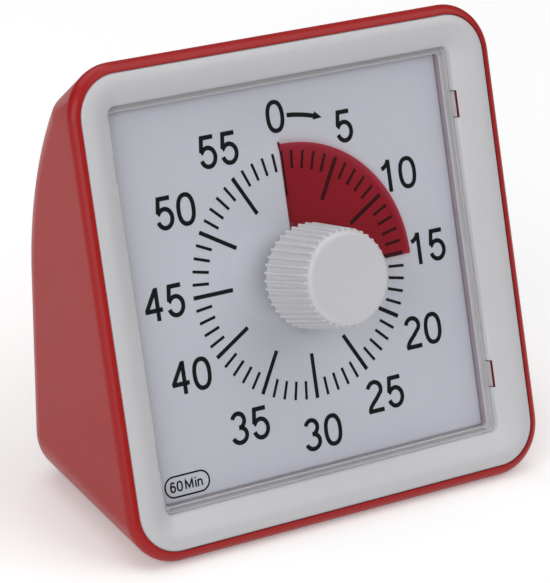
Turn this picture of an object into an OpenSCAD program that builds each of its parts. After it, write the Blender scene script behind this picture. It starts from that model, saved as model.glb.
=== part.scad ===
// Sixty-minute visual countdown timer with a square sloping face and a fluted setting knob.
// Millimetres. +Z is up and the base rests on Z = 0. The face looks towards -Y and leans back.
// The origin is the middle of the footprint. The red disc shows 15 minutes at rest.

/* [Case] */
// Width of the front face, over the red rim
face_w = 140; // [134:1:168]
// Height of the front face, measured along its slope
face_h = 139; // [134:1:167]
// Depth of the case from the lowest front edge to the back
depth = 73.4; // [70:0.1:80]
// Corner radius of the front face
face_r = 15; // [13:0.5:18]
// Lean of the front face from upright, in degrees
tilt = 23.8; // [22:0.2:25]
// Radius of the rounded red edge around the face
rim_r = 2.8; // [2.4:0.1:3.2]
// Height of the red edge above the printed dial
rim_n = 8.3; // [7.8:0.1:9]
// Radius of the curved back, seen from the side
back_r = 100; // [95:1:115]
// Lean of the lower back from upright, in degrees
back_lean = 8.5; // [7:0.5:9]
// Radius of the rounded edges of the back
edge_r = 8.5; // [7:0.5:9.5]
// Wall of the case
wall = 2.6; // [2.2:0.1:3]

/* [Front] */
// Side of the square clear window
lens_s = 113.8; // [110:0.2:116]
// Thickness of the window
lens_t = 1.2; // [1:0.1:1.5]
// Corner radius of the window
lens_r = 2.2; // [1.8:0.1:3]
// Height of the window's front above the printed dial
lens_n = 3.7; // [3.4:0.1:4]
// Width of the ledge that carries the window
ledge_w = 1.7; // [1.4:0.1:2]
// Height of the white frame at its inner edge, above the printed dial
bezel_inner_n = 5.3; // [5:0.1:5.6]
// Rise of the white frame above the red edge
bezel_crown = 0.5; // [0.3:0.1:0.8]
// Height of the dial's centre above the middle of the face
dial_up = 0.25; // [0:0.05:0.5]

/* [Disc and knob] */
// Radius of the red time disc
disc_r = 38; // [34:0.5:40]
// Thickness of the red time disc and of its card
sheet_t = 0.4; // [0.3:0.05:0.5]
// Minutes shown at rest
rest_minutes = 15; // [5:1:45]
// Radius of the knob's body at its foot, without the ribs
knob_r = 14.3; // [13:0.1:16]
// Radius of the knob's body at its front
knob_front_r = 13.1; // [12:0.1:14]
// Length of the knob
knob_l = 20.7; // [18:0.1:23]
// Gap between the knob and the window
knob_gap = 0.9; // [0.7:0.1:1.5]
// Number of ribs around the knob
rib_count = 40; // [30:1:44]
// Height of each rib
rib_h = 0.6; // [0.4:0.05:0.8]
// Radius of the spindle
spindle_r = 3; // [2.6:0.1:3.4]

/* [Movement] */
// Side of the square movement case
move_s = 56; // [54:1:60]
// Depth of the movement case
move_d = 13.3; // [13:0.1:14]

/* [Battery and switch] */
// Diameter of the AA cell
cell_d = 14.2; // [13.9:0.1:14.5]
// Length of the AA cell without its nipple
cell_l = 49; // [48.5:0.1:49.5]
// Width of the battery door
door_w = 64; // [62:1:70]
// Height of the battery door
door_h = 23; // [22:0.5:24]
// Travel of the sound switch
switch_travel = 4; // [3:0.5:4]

/* [Hidden] */
$fn = 64;

gap = 0.3;           // free gap between pieces that move or drop in
fit = 0.05;          // radial clearance of a shaft in its hole
over = 1;            // how far a cut runs past the face it opens
foot_h = 0.8;        // how far the rubber feet stand out of the base
foot_r = 5;
base_z = foot_h;
round_fn = 32;       // facets of the round forms inside a hull

// Place of the dial's centre in the row frame
dial_y = -depth / 2 + (face_h / 2 + dial_up - rim_r) * sin(tilt)
    + (rim_n - rim_r) * cos(tilt) + rim_r;
dial_z = base_z + (face_h / 2 + dial_up - rim_r) * cos(tilt)
    - (rim_n - rim_r) * sin(tilt) + rim_r;

// Arc of the back: its axis runs along X
arc_y = depth / 2 - back_r;
arc_z = dial_z + 14.8;
arc_top = 22;        // angle of the arc's last round edge, below the top rim
recess_in = 0.06;    // how far the front opening stays inside the hollow
recess_w = face_w - 2 * (wall + recess_in);
recess_h = face_h - 2 * (wall + recess_in);
recess_r = face_r - wall + 0.4;

// Lower back: a flat that leaves the arc square to the angle -back_lean
low_c = cos(back_lean);
low_s = sin(back_lean);
rear_foot_z = base_z + edge_r;
rear_foot_y = arc_y + (back_r - edge_r + (rear_foot_z - arc_z) * low_s) / low_c;

// Levels along the dial's normal, from the printed face of the card at 0
bezel_w = face_w - 2 * (wall + gap);
bezel_h = face_h - 2 * (wall + gap);
bezel_r = face_r - wall - gap;
lens_gap = 0.2;
pocket_s = lens_s + 2 * lens_gap;
ledge_s = lens_s - 2 * ledge_w;
ledge_n = lens_n - lens_t;
card_t = 0.6;
card_front = 0;      // the printed face of the card
card_back = card_front - card_t;
card_drop = 1.7;     // room behind the card, which bends back beside its slit
disc_front = card_front + 0.3 + sheet_t;
disc_low = card_back - card_drop;
rim_over = 0.4;      // how far the tray's rim stands around the card
wall_n = card_front + 0.1;   // lower end of the wall around the window
tray_floor = disc_low - sheet_t - 0.3;
tray_t = 1.2;
tray_back = tray_floor - tray_t;
tray_s = ledge_s + 4.6;
card_s = ledge_s + 2.4;
chamber_r = ledge_s / 2 - 1.2;
skirt_n = 4.6;       // lowest level of the white frame's outer skirt
boss_x = lens_s / 2 + 4.1;
boss_v = 40;
boss_r = 2.8;
boss_low = tray_back + 1.6;
screw_r = 1.25;
head_r = 2.5;
head_t = 1.6;
case_screw_x = boss_x;
case_screw_v = 50;

// Disc, slit and knob
slit_x = 0.3;        // right edge of the slit
slit_w = 1.5;
hub_r = 6;
card_hole_r = 8;
knob_foot_n = lens_n + knob_gap;
knob_n = knob_foot_n + knob_l;
neck_r = 5.4;
lens_hole_r = 6;
rest_angle = rest_minutes * 6;

// Movement. The tooth counts give ratios of 4 and 4, so 16 from the knob to the rotor
gear_m = 0.5;
time_teeth = 56;
idler_pinion_teeth = 14;
idler_wheel_teeth = 48;
rotor_pinion_teeth = 12;
move_front = tray_back;
move_back = move_front - move_d;
move_wall = 1.5;
move_split = move_front - 0.52 * move_d;
time_r = gear_m * time_teeth / 2;
idler_r = gear_m * idler_wheel_teeth / 2;
idler_pinion_r = gear_m * idler_pinion_teeth / 2;
rotor_r = gear_m * rotor_pinion_teeth / 2;
mesh_gap = 0.1;
idler_angle = 135;
idler_c = time_r + idler_pinion_r + mesh_gap;
idler_x = idler_c * cos(idler_angle);
idler_v = idler_c * sin(idler_angle);
rotor_angle = 248.2;
rotor_c = idler_r + rotor_r + mesh_gap;
rotor_x = idler_x + rotor_c * cos(rotor_angle);
rotor_v = idler_v + rotor_c * sin(rotor_angle);
time_wheel_n = move_front - 4.6;
time_wheel_t = 1.2;
idler_wheel_n = time_wheel_n - 3.4;
idler_wheel_t = 1;
arbor_r = 0.8;
pivot_in = 0.9;      // depth of each pivot in its plate
magnet_r = 3.6;
magnet_t = 1.6;
magnet_n = idler_wheel_n - 1.4;
coil_v = -17.5;

// Battery bay, sound disc and switch, in the frame of the lower back
bay_s = 21.5;        // height of the bay's middle above the base, along the slope
bay_h = cell_d + 2.6;
bay_w = cell_l + 9;        // the cell, its two contacts and their springs
door_t = 1.8;
bay_depth = door_t + 0.9 + cell_d + 0.7;
hinge_r = door_t / 2;     // rounded lower edge of the door
hinge_pin_r = 0.6;
hinge_pin_l = 1.4;
hinge_s = bay_s - door_h / 2 + hinge_r + gap;
cell_s = bay_s;
cell_depth = door_t + 0.9 + cell_d / 2;
nipple_l = 1.4;
switch_x = -45.5;
switch_s = bay_s + 6;
switch_in = switch_travel + 4.3;   // half the length of the switch's inside
switch_t = 1;
sound_x = 46;
sound_s = 24;
sound_r = 10;

CASE_RED = [0.66, 0.08, 0.08];
FRAME_WHITE = [0.8, 0.8, 0.81];

// ---------- frames ----------

// Children are drawn on the dial: x to the right, y up the face, z out of the face
module on_dial() {
    translate([0, dial_y, dial_z]) rotate([90 - tilt, 0, 0]) children();
}

// Children are drawn on the lower back, seen from behind: x to the right, y up the slope from
// the level of the base, z outwards
module on_back() {
    translate([0, back_y, base_z]) rotate([90 + back_lean, 0, 180]) children();
}
slope_l = (arc_z - back_r * low_s - base_z) / low_c;
back_y = arc_y + back_r * low_c - slope_l * low_s;

// Points of both frames in the row frame, for the leads
function dial_point(x, v, n) = [
    x,
    dial_y + v * sin(tilt) - n * cos(tilt),
    dial_z + v * cos(tilt) + n * sin(tilt)
];
function back_point(x, s, d) = [
    -x,
    back_y + s * low_s + d * low_c,
    base_z + s * low_c - d * low_s
];

// ---------- shared shapes ----------

// Rounded rectangle with true arcs
module rounded(w, h, r) {
    square([w - 2 * r, h], center = true);
    square([w, h - 2 * r], center = true);
    for (sx = [-1, 1], sy = [-1, 1])
        translate([sx * (w / 2 - r), sy * (h / 2 - r)]) circle(r);
}

// Flat plate from level low to level high
module plate(w, h, r, low, high) {
    translate([0, 0, low]) linear_extrude(high - low) rounded(w, h, r);
}

// Straight round rod from level low to level high
module rod(r, low, high) {
    translate([0, 0, low]) cylinder(r = r, h = high - low);
}

// Ring with round section for the corners of a soft-edged plate
module ring_form(outer, section) {
    rotate_extrude($fn = round_fn) intersection() {
        translate([outer - section, 0]) circle(section, $fn = round_fn / 2);
        translate([0, -section]) square([outer, 2 * section]);
    }
}

// The case's outer form, drawn in by an inset
module case_form(inset) {
    section = max(rim_r - inset, 0.3);
    hull() {
        on_dial()
            translate([0, -dial_up, rim_n - rim_r])
                for (sx = [-1, 1], sy = [-1, 1])
                    translate([sx * (face_w / 2 - face_r), sy * (face_h / 2 - face_r), 0])
                        ring_form(face_r - inset, section);
        for (sx = [-1, 1])
            translate([sx * (face_w / 2 - face_r), rear_foot_y, base_z + face_r])
                rotate([90, 0, 0]) ring_form(face_r - inset, edge_r - inset);
        for (sx = [-1, 1], a = [-back_lean : (arc_top + back_lean) / 8 : arc_top])
            translate([
                sx * (face_w / 2 - edge_r),
                arc_y + (back_r - edge_r) * cos(a),
                arc_z + (back_r - edge_r) * sin(a)
            ])
                sphere(edge_r - inset, $fn = round_fn);
    }
}

// Wheel with plain tapered teeth. One tooth points along the angle phase
module gear(teeth, thickness, phase) {
    pitch_r = gear_m * teeth / 2;
    tip = [pitch_r + 0.42, 0.22];
    flank = [pitch_r, 0.52];
    root = [pitch_r - 0.62, 0.8];
    section = [root, flank, tip];
    points = [
        for (k = [0 : teeth - 1])
            for (side = [-1, 1])
                for (i = side < 0 ? [0, 1, 2] : [2, 1, 0])
                    let (a = phase + 360 * k / teeth
                        + side * section[i][1] / 2 / section[i][0] * 180 / PI)
                        section[i][0] * [cos(a), sin(a)]
    ];
    linear_extrude(thickness) polygon(points);
}

// Round lead of radius r along a list of points, with ends square to the first and last steps
function unit(v) = v / norm(v);
function along(p, i) = unit(i == 0 ? p[1] - p[0]
    : i == len(p) - 1 ? p[i] - p[i - 1]
    : unit(p[i + 1] - p[i]) + unit(p[i] - p[i - 1]));
module lead(p, r) {
    sides = 8;
    rings = [
        for (i = [0 : len(p) - 1])
            let (t = along(p, i), a = unit(cross(t, [0.31, 0.17, 0.93])), b = cross(t, a))
                for (k = [0 : sides - 1])
                    p[i] + r * (a * cos(360 * k / sides) + b * sin(360 * k / sides))
    ];
    last = (len(p) - 1) * sides;
    walls = [
        for (i = [0 : len(p) - 2], k = [0 : sides - 1])
            let (n = (k + 1) % sides, u = i * sides)
                each [[u + k, u + sides + n, u + n], [u + k, u + sides + k, u + sides + n]]
    ];
    caps = [
        for (k = [1 : sides - 2])
            each [[0, k, k + 1], [last, last + k + 1, last + k]]
    ];
    polyhedron(rings, concat(walls, caps));
}

// ---------- case ----------

module bay_cut(extra, deep) {
    translate([-bay_w / 2 - extra, bay_s - bay_h / 2 - extra, -deep])
        cube([bay_w + 2 * extra, bay_h + 2 * extra, deep + 0.01]);
}

module rear_housing() color(CASE_RED) difference() {
    case_form(0);
    // the hollow, less the battery bay, the posts of the screws and the seats on the back
    difference() {
        union() {
            case_form(wall);
            on_dial() translate([0, -dial_up, rim_n - rim_r - over]) hull()
                for (sx = [-1, 1], sy = [-1, 1])
                    translate([sx * (recess_w / 2 - recess_r), sy * (recess_h / 2 - recess_r), 0])
                        cylinder(r = recess_r, h = rim_r + 3 + over, $fn = round_fn);
        }
        on_back() {
            bay_cut(1.6, bay_depth + 1.6);
            translate([sound_x, sound_s, 0]) rod(sound_r + 1.6, -wall - 1.8, 0);
        }
        on_dial() for (sx = [-1, 1]) translate([sx * case_screw_x, case_screw_v, 0]) {
            rod(4, -30, tray_back - 1.5);
            rod(3.2, -30, tray_back + 1.2);
        }
    }
    // battery bay and the seat of its door
    on_back() {
        bay_cut(0, bay_depth);
        translate([-door_w / 2, bay_s - door_h / 2, -door_t - 0.2])
            cube([door_w, door_h, door_t + 0.2 + over]);
        // pocket of the door's spring tongue
        translate([-5.4, bay_s + bay_h / 2 - over, -door_t - 2.6])
            cube([10.8, (door_h - bay_h) / 2 + over, 3]);
        // holes of the door's two hinge pins
        translate([0, hinge_s, -hinge_r]) rotate([0, 90, 0])
            rod(hinge_pin_r + fit, -door_w / 2 - hinge_pin_l, door_w / 2 + hinge_pin_l);
        // finger notch above the door
        translate([0, bay_s + door_h / 2 - 3, -0.8]) rod(7, 0, over + 0.8);
    }
    // case screws: counterbore from the back and a clear hole
    on_dial() for (sx = [-1, 1])
        translate([sx * case_screw_x, case_screw_v, 0]) {
            rod(screw_r + fit, -40, 0);
            rod(head_r + 0.4, -40, case_head_n);
        }
    // pocket and holes for the sound disc
    on_back() translate([sound_x, sound_s, 0]) {
        rod(sound_r, -wall - 4, -wall + 0.6);
        rod(0.8, -wall, over);
        for (k = [0 : 5]) rotate(k * 60) translate([3.6, 0, 0]) rod(0.8, -wall, over);
    }
    // slot for the sound switch
    on_back() translate([switch_x - switch_travel - gap, switch_s - 1.4 - gap, -10])
        cube([2 * (switch_travel + gap), 2 * (1.4 + gap), 12]);
    // seats of the rubber feet
    feet_places() rod(foot_r + 0.05, -over, foot_seat);
    // slots that the hooks of the white frame catch in
    for (sx = [-1, 1]) translate([sx * hook_x - 4.3, hook_y - 1.8, base_z + wall - 1.2])
        cube([8.6, 3.6, 1.3]);
}
case_head_n = -12.2;
foot_seat = base_z + 0.8;
foot_x = face_w / 2 - 24;
front_foot_y = -depth / 2 + 16;
back_foot_y = rear_foot_y - 4;
hook_x = 30;
hook_y = -depth / 2 + 16.2;

module feet_places() {
    for (sx = [-1, 1], y = [front_foot_y, back_foot_y])
        translate([sx * foot_x, y, 0]) children();
}

module rubber_feet() color([0.12, 0.12, 0.13])
    feet_places() rod(foot_r, 0, foot_seat);

module front_bezel() color(FRAME_WHITE) difference() {
    union() {
        on_dial() {
            translate([0, -dial_up, 0]) {
                plate(bezel_w, bezel_h, bezel_r, skirt_n, rim_n - 0.5);
                plate(bezel_w - 1, bezel_h - 1, bezel_r - 0.5, rim_n - 0.6, rim_n);
                plate(bezel_w - 2.6, bezel_h - 2.6, bezel_r - 1.3, rim_n - 0.1,
                    rim_n + bezel_crown);
            }
            // wall around the window, down to the card
            plate(pocket_s + 3, pocket_s + 3, lens_r + 1.5, wall_n, skirt_n + over);
            // posts for the tray
            for (sx = [-1, 1], sy = [-1, 1]) translate([sx * boss_x, sy * boss_v, 0])
                rod(boss_r, boss_low, skirt_n + over);
            // posts for the case screws
            for (sx = [-1, 1]) translate([sx * case_screw_x, case_screw_v, 0])
                rod(boss_r + 0.3, tray_back + 1.5, skirt_n + over);
        }
        // hooks that reach back over the floor of the case
        for (sx = [-1, 1]) translate([sx * hook_x - 4, 0, 0]) hook();
    }
    on_dial() {
        // slope from the crown down to the window
        hull() {
            translate([0, -dial_up, 0])
                plate(bezel_w - 6, bezel_h - 6, bezel_r - 3, rim_n + bezel_crown,
                    rim_n + bezel_crown + 1);
            plate(pocket_s, pocket_s, lens_r + lens_gap, bezel_inner_n, rim_n + 1);
        }
        plate(pocket_s, pocket_s, lens_r + lens_gap, ledge_n, rim_n);
        plate(ledge_s, ledge_s, lens_r - 1, wall_n - over, rim_n);
        for (sx = [-1, 1], sy = [-1, 1]) {
            // slots for the window's snap tabs
            translate([sx * (lens_s / 2 + 0.35) - 0.55, sy * tab_v - tab_l / 2 - gap, wall_n - over])
                cube([1.1, tab_l + 2 * gap, rim_n]);
            translate([sx * boss_x, sy * boss_v, 0]) rod(screw_r, boss_low - over, skirt_n);
        }
        for (sx = [-1, 1]) translate([sx * case_screw_x, case_screw_v, 0])
            rod(screw_r, tray_back - over, skirt_n);
    }
    // the skirt stops above the floor of the case
    translate([-face_w, -depth, -face_h]) cube([2 * face_w, 2 * depth,
        face_h + base_z + wall + gap]);
}
tab_v = 40;
tab_l = 7.4;

// One hook: a flat arm behind the lower skirt with a nib at its end
module hook() {
    arm_z = base_z + wall + gap;
    translate([0, hook_front_y, arm_z]) cube([8, hook_y - hook_front_y + 1.5, 2]);
}
hook_front_y = dial_y - (bezel_h / 2 + dial_up) * sin(tilt) - skirt_n * cos(tilt) + 1;

module window() color([0.85, 0.9, 0.92, 0.3]) on_dial() {
    difference() {
        plate(lens_s, lens_s, lens_r, ledge_n, lens_n);
        rod(lens_hole_r, ledge_n - over, lens_n + over);
    }
    // snap tabs that go down through the frame's slots
    for (sx = [-1, 1], sy = [-1, 1]) {
        translate([sx * (lens_s / 2 + 0.35) - 0.25, sy * tab_v - tab_l / 2, wall_n + 0.2])
            cube([0.5, tab_l, lens_n - wall_n - 0.4]);
        translate([sx * (lens_s / 2 + 0.2) - 0.4, sy * tab_v - tab_l / 2, ledge_n + 0.2])
            cube([0.8, tab_l, lens_t - 0.4]);
    }
}

// ---------- dial ----------

module dial_card() color([0.73, 0.75, 0.79]) on_dial() difference() {
    plate(card_s, card_s, 1.5, card_back, card_front);
    rod(card_hole_r, card_back - over, card_front + over);
    // slit that the red disc comes through
    translate([slit_x - slit_w, 0, card_back - over])
        cube([slit_w, disc_r + 1.5, card_t + 2 * over]);
    // short cut in the upper edge
    translate([-4, card_s / 2 - 4.6, card_back - over]) cube([0.3, 10, card_t + 2 * over]);
}

module dial_tray() color([0.85, 0.85, 0.86]) on_dial() difference() {
    union() {
        plate(tray_s, tray_s, 2.5, tray_back, card_back + rim_over);
        for (sx = [-1, 1], sy = [-1, 1]) hull() {
            translate([sx * boss_x, sy * boss_v, 0]) rod(boss_r, tray_back, boss_low);
            translate([sx * (tray_s / 2 - 3), sy * boss_v, 0])
                rod(boss_r, tray_back, boss_low);
        }
    }
    // seat of the card, then room for the disc and for the card's bend
    plate(card_s + 0.2, card_s + 0.2, 1.5, card_back, card_front + over);
    rod(chamber_r, tray_floor, card_back + over);
    rod(spindle_r + 0.8, tray_back - over, tray_floor + over);
    for (sx = [-1, 1], sy = [-1, 1]) {
        translate([sx * boss_x, sy * boss_v, 0])
            rod(screw_r + fit, tray_back - over, boss_low + over);
        translate([sx * move_screw, sy * move_screw, 0])
            rod(screw_r, tray_back - over, tray_floor - 0.2);
    }
}
move_screw = move_s / 2 + 2.5;

// The disc is one thin sheet with a radial cut. It leaves the slit at twelve o'clock and lies
// before the card up to the minutes shown. The rest of it lies behind the card.
module time_disc() color([0.52, 0.09, 0.12]) on_dial() {
    difference() {
        union() {
            sector(rest_angle, disc_front - sheet_t);
            // step through the slit
            translate([slit_x - slit_w + gap, hub_r, disc_low - sheet_t])
                cube([slit_w - 2 * gap, disc_r - hub_r - 1, disc_front - disc_low + sheet_t]);
        }
        rod(hub_r, -20, 20);
    }
    difference() {
        rod(disc_r, disc_low - sheet_t, disc_low);
        rod(hub_r, -20, 20);
    }
}

// Front part of the disc: clockwise from the slit, through the angle a
module sector(a, low) {
    intersection() {
        rod(disc_r, low, low + sheet_t);
        union() {
            rotate(-a) wedge(a, 20);
            translate([slit_x - slit_w + gap, 0, -20]) cube([-slit_x + slit_w - gap, 60, 40]);
        }
    }
}

// Thick wedge from the upward direction, counter-clockwise through the angle a, at most 180
module wedge(a, t) {
    translate([0, 0, -t]) linear_extrude(2 * t)
        polygon([
            [0, 0],
            for (k = [0 : 8]) 60 * [-sin(a * k / 8), cos(a * k / 8)]
        ]);
}

module disc_hub() color([0.9, 0.9, 0.9]) on_dial() difference() {
    rod(hub_r, disc_low - sheet_t - 0.2, disc_front + 0.1);
    rod(spindle_r, -20, 20);
}

module knob() color([0.78, 0.78, 0.79]) on_dial() difference() {
    union() {
        translate([0, 0, knob_foot_n])
            linear_extrude(knob_l - 1.2, scale = knob_front_r / knob_r) {
                circle(knob_r, $fn = 160);
                for (k = [0 : rib_count - 1])
                    rotate(360 * k / rib_count)
                        translate([knob_r, 0]) circle(rib_h, $fn = 8);
            }
        translate([0, 0, knob_n - 1.3])
            cylinder(r1 = knob_front_r, r2 = knob_front_r - 0.6, h = 1.3, $fn = 96);
        rod(neck_r, disc_front + 0.4, knob_foot_n + over);
    }
    // hollow behind the front wall, around the hub
    difference() {
        rod(knob_front_r - 1.8, knob_foot_n - over, knob_n - 3);
        rod(neck_r, knob_foot_n - 2 * over, knob_n);
    }
    rod(spindle_r, -20, knob_n - 4);
}

module spindle() color([0.7, 0.7, 0.72]) on_dial() {
    rod(spindle_r, time_wheel_n - time_wheel_t - 1.5, knob_n - 4);
    rod(1.5, move_back + move_wall - pivot_in, time_wheel_n);
}

// ---------- movement ----------

module clutch_washer() color([0.75, 0.66, 0.35]) on_dial() difference() {
    rod(5, time_wheel_n, time_wheel_n + 0.5);
    rod(spindle_r, -30, 30);
}

module time_wheel() color([0.92, 0.9, 0.82]) on_dial() difference() {
    union() {
        translate([0, 0, time_wheel_n - time_wheel_t]) gear(time_teeth, time_wheel_t, 0);
        rod(4.5, time_wheel_n - time_wheel_t - 1.2, time_wheel_n);
    }
    rod(spindle_r, -30, 30);
}

module idler_wheel() color([0.92, 0.9, 0.82]) on_dial() translate([idler_x, idler_v, 0]) {
    translate([0, 0, time_wheel_n - time_wheel_t - 0.3])
        gear(idler_pinion_teeth, time_wheel_t + 0.6, idler_phase);
    rod(2.4, idler_wheel_n, time_wheel_n - time_wheel_t);
    translate([0, 0, idler_wheel_n - idler_wheel_t])
        gear(idler_wheel_teeth, idler_wheel_t, 0);
    rod(arbor_r, move_back + move_wall - pivot_in, move_front - move_wall + pivot_in);
}
// The idler's gap faces the time wheel's tooth on the line between them
function facing(line, teeth_a, phase_a, teeth_b) =
    line + 180 + (line - phase_a) * teeth_a / teeth_b + 180 / teeth_b;
idler_phase = facing(idler_angle, time_teeth, 0, idler_pinion_teeth);
rotor_phase = facing(rotor_angle, idler_wheel_teeth, 0, rotor_pinion_teeth);

module rotor_wheel() color([0.5, 0.5, 0.55]) on_dial() translate([rotor_x, rotor_v, 0]) {
    translate([0, 0, idler_wheel_n - idler_wheel_t - 0.2])
        gear(rotor_pinion_teeth, idler_wheel_t + 0.4, rotor_phase);
    rod(magnet_r, magnet_n - magnet_t, magnet_n);
    rod(arbor_r, move_back + move_wall - pivot_in, move_front - move_wall + pivot_in);
}

module movement_front_case() color([0.75, 0.77, 0.8]) on_dial() difference() {
    union() {
        plate(move_s, move_s, 3, move_split, move_front);
        // ears of the movement's four screws
        for (sx = [-1, 1], sy = [-1, 1]) hull() {
            translate([sx * move_screw, sy * move_screw, 0])
                rod(2.6, move_front - 1.5, move_front);
            translate([sx * (move_s / 2 - 3), sy * (move_s / 2 - 3), 0])
                rod(2.6, move_front - 1.5, move_front);
        }
    }
    plate(move_s - 2 * move_wall, move_s - 2 * move_wall, 2, move_split - over,
        move_front - move_wall);
    rod(spindle_r + fit, -30, 0);
    pivots(move_front - move_wall - over, move_front - move_wall + pivot_in + 0.1);
    for (sx = [-1, 1], sy = [-1, 1]) translate([sx * move_screw, sy * move_screw, 0])
        rod(screw_r + fit, move_front - 3, move_front + over);
}

module movement_rear_case() color([0.75, 0.77, 0.8]) on_dial() difference() {
    plate(move_s, move_s, 3, move_back, move_split);
    plate(move_s - 2 * move_wall, move_s - 2 * move_wall, 2, move_back + move_wall,
        move_split + over);
    rod(1.5 + fit, move_back + move_wall - pivot_in - 0.1, move_split);
    pivots(move_back + move_wall - pivot_in - 0.1, move_split);
}

// Holes of the idler's and the rotor's pivots
module pivots(low, high) {
    translate([idler_x, idler_v, 0]) rod(arbor_r + fit, low, high);
    translate([rotor_x, rotor_v, 0]) rod(arbor_r + fit, low, high);
}

module stator_plate() color([0.6, 0.6, 0.62]) on_dial() difference() {
    union() {
        translate([rotor_x, rotor_v, 0]) rod(magnet_r + 2.6, stator_n - 1, stator_n);
        translate([rotor_x - 4, coil_v - 2, stator_n - 1])
            cube([8, rotor_v - coil_v + 2, 1]);
        translate([rotor_x - 4, coil_v - 2, stator_n - 1]) cube([34, 4, 1]);
    }
    translate([rotor_x, rotor_v, 0]) rod(magnet_r + 0.5, -30, 0);
}
stator_n = magnet_n - 0.3;

module drive_coil() color([0.72, 0.42, 0.2]) on_dial()
    translate([rotor_x + 8, coil_v, stator_n + 2.2]) rotate([0, 90, 0]) difference() {
        union() {
            cylinder(r = 2, h = 18);
            cylinder(r = 2.2, h = 1);
            translate([0, 0, 17]) cylinder(r = 2.2, h = 1);
        }
        translate([0, 0, -over]) cylinder(r = 0.5, h = 18 + 2 * over);
    }

module movement_screws() color([0.75, 0.75, 0.77]) on_dial()
    for (sx = [-1, 1], sy = [-1, 1]) translate([sx * move_screw, sy * move_screw, 0]) {
        rod(screw_r, move_front - 1.5, tray_floor - 0.4);
        rod(2.2, move_front - 1.5 - head_t, move_front - 1.5);
    }

module tray_screws() color([0.75, 0.75, 0.77]) on_dial()
    for (sx = [-1, 1], sy = [-1, 1]) translate([sx * boss_x, sy * boss_v, 0]) {
        rod(screw_r, tray_back, 3);
        rod(head_r, tray_back - head_t, tray_back);
    }

module case_screws() color([0.75, 0.75, 0.77]) on_dial()
    for (sx = [-1, 1]) translate([sx * case_screw_x, case_screw_v, 0]) difference() {
        union() {
            rod(screw_r, case_head_n, 2);
            rod(head_r, case_head_n - head_t, case_head_n);
        }
        translate([-0.5, -3, case_head_n - head_t - over]) cube([1, 6, over + 0.7]);
        translate([-3, -0.5, case_head_n - head_t - over]) cube([6, 1, over + 0.7]);
    }

// ---------- electronics ----------

board_w = 40;
board_h = 20;
board_v = -45;
board_n = tray_back - 4;
board_t = 1.2;
board_back = board_n - board_t;

module circuit_board() color([0.13, 0.35, 0.2]) on_dial() {
    translate([-board_w / 2, board_v - board_h / 2, board_n - board_t])
        cube([board_w, board_h, board_t]);
    // stand-offs to the tray
    for (sx = [-1, 1]) translate([sx * (board_w / 2 - 3), board_v, 0])
        rod(2, board_n - 0.1, tray_back);
}

module control_chip() color([0.08, 0.08, 0.09]) on_dial()
    translate([-10, board_v - 4, board_n - board_t - 1.6]) cube([10, 8, 1.6]);

module quartz_crystal() color([0.8, 0.8, 0.82]) on_dial()
    translate([5, board_v, board_n - board_t - 1.5]) rotate([0, 90, 0])
        cylinder(r = 1.5, h = 8);

module sound_disc() color([0.85, 0.75, 0.4]) on_back() translate([sound_x, sound_s, 0])
    rod(sound_r - 0.1, -wall - 0.2, -wall + 0.2);

module sound_ring() color([0.2, 0.2, 0.22]) on_back() translate([sound_x, sound_s, 0])
    difference() {
        rod(sound_r - 0.1, -wall - 1.7, -wall - 0.2);
        rod(sound_r - 2.2, -wall - 3, -wall + 1);
    }

module battery_cell() color([0.2, 0.22, 0.26]) on_back()
    translate([-cell_l / 2, cell_s, -cell_depth]) rotate([0, 90, 0]) {
        cylinder(d = cell_d, h = cell_l);
        cylinder(d = 5.2, h = cell_l + nipple_l);
    }

module contact_spring() color([0.78, 0.78, 0.8]) on_back() {
    translate([-bay_w / 2, cell_s - 5, -cell_depth - 5]) cube([0.4, 10, 10]);
    translate([-bay_w / 2 + 0.4, cell_s, -cell_depth]) rotate([0, 90, 0]) spring_coil();
}

// Conical spring, drawn as one tube from its foot to the cell
module spring_coil() {
    turns = 4;
    free = (bay_w - cell_l) / 2 - 0.4;
    steps = turns * 12;
    lead([
        for (k = [0 : steps])
            let (f = k / steps, r = 4.2 - 2 * f)
                [r * cos(360 * turns * f), r * sin(360 * turns * f), 0.35 + (free - 0.7) * f]
    ], 0.35);
}

module contact_plate() color([0.78, 0.78, 0.8]) on_back() {
    translate([bay_w / 2 - 0.4, cell_s - 5, -cell_depth - 5]) cube([0.4, 10, 10]);
    translate([cell_l / 2 + nipple_l, cell_s - 2, -cell_depth - 2])
        cube([bay_w / 2 - 0.4 - cell_l / 2 - nipple_l, 4, 4]);
}

module battery_door() color(CASE_RED) on_back() difference() {
    union() {
        translate([-door_w / 2 + gap, hinge_s, -door_t])
            cube([door_w - 2 * gap, bay_s + door_h / 2 - gap - hinge_s, door_t]);
        translate([0, hinge_s, -hinge_r]) rotate([0, 90, 0]) {
            rod(hinge_r, -door_w / 2 + gap, door_w / 2 - gap);
            rod(hinge_pin_r, -door_w / 2 - hinge_pin_l + gap, door_w / 2 + hinge_pin_l - gap);
        }
        // spring tongue with its nib
        translate([-5, bay_s + door_h / 2 - gap - 1.6, -door_t - 2]) cube([10, 1.6, 2.1]);
        translate([-3, bay_s + door_h / 2 - gap - 0.1, -door_t + 0.2]) cube([6, 0.3, 0.8]);
        // ribs that press on the cell
        for (sx = [-1, 1])
            translate([sx * 14 - 0.6, cell_s - 5, -door_t - 0.6]) cube([1.2, 10, 0.7]);
    }
    // finger notch
    translate([0, bay_s + door_h / 2 - 3, -0.8]) rod(7, 0, over + 0.8);
}

module switch_body() color([0.15, 0.15, 0.16]) on_back()
    translate([switch_x, switch_s, -wall - 0.1]) difference() {
        translate([-switch_in - switch_t, -2.4 - switch_t, -5])
            cube([2 * (switch_in + switch_t), 2 * (2.4 + switch_t), 5]);
        translate([-switch_in, -2.4, -2.2]) cube([2 * switch_in, 4.8, 2.2 + over]);
    }

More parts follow.
